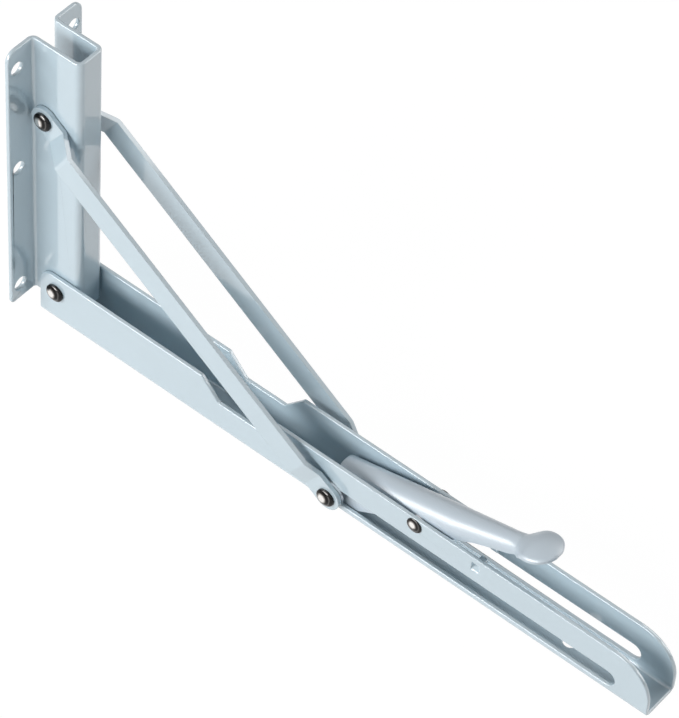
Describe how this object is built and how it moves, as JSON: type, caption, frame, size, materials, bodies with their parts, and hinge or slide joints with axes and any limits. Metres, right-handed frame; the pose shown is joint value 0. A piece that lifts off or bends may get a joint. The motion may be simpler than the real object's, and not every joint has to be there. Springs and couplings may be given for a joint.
{
  "type": "folding shelf bracket",
  "caption": "Folding shelf bracket with a hat-section wall plate, a slotted channel arm, cranked struts and a spring release lever with a thumb paddle.",
  "frame": {"origin": "the corner between the wall plane and the plane of the shelf's underside, midway across the bracket", "axes": "+X out from the wall along the arm, +Y across the bracket to its left side, +Z from the shelf along the wall plate; the bracket is stored open and resting on its arm, and in use it hangs the other way up, with -Z towards the shelf above it"},
  "size_m": [0.3, 0.0402, 0.1438],
  "materials": {
    "coat": "glossy powder coat",
    "lever_coat": "glossy powder coat",
    "rivet_metal": "polished nickel plate",
    "plain_steel": "turned",
    "washer_steel": "zinc plate",
    "spring_steel": "drawn wire"
  },
  "bodies": {
    "wall_mount": {"wall_plate": "coat", "arm_pivot_pin": "rivet_metal", "arm_pivot_spacer": "plain_steel", "strut_pivot_pin": "rivet_metal", "strut_pivot_spacer": "plain_steel"},
    "arm": {"support_arm": "coat", "lever_axle": "rivet_metal", "lever_spacer": "plain_steel", "lever_spring": "spring_steel"},
    "struts": {"strut_right": "coat", "strut_left": "coat", "foot_rivet_right": "rivet_metal", "foot_rivet_left": "rivet_metal"},
    "slider": {"slide_pin": "plain_steel", "slide_roller": "rivet_metal", "slide_washer_right": "washer_steel", "slide_washer_left": "washer_steel"},
    "lever": {"release_lever": "lever_coat", "lever_spring_leg": "spring_steel"}
  },
  "joints": [
    {"name": "arm_fold", "type": "hinge", "parent": "wall_mount", "child": "arm", "pos_m": [0.0142, 0, 0.0163], "axis": [0, -1, 0], "range_deg": [0, 90]},
    {"name": "strut_swing", "type": "hinge", "parent": "wall_mount", "child": "struts", "pos_m": [0.0085, 0, 0.1065], "axis": [0, -1, 0], "range_deg": [0, 119.8]},
    {"name": "pin_slide", "type": "slide", "parent": "arm", "child": "slider", "axis": [1, 0, 0], "range_m": [0, 0.1258]},
    {"name": "lever_press", "type": "hinge", "parent": "arm", "child": "lever", "pos_m": [0.1914, 0, 0.0208], "axis": [0, 1, 0], "range_deg": [0, 15.5], "stiffness_Nm_per_rad": 0.8, "springref_deg": -17.19}
  ],
  "couplings": [
    {"joint": "strut_swing", "follows": "arm_fold", "ratio": 1.3307},
    {"joint": "pin_slide", "follows": "arm_fold", "m_per_rad": 0.08005}
  ]
}
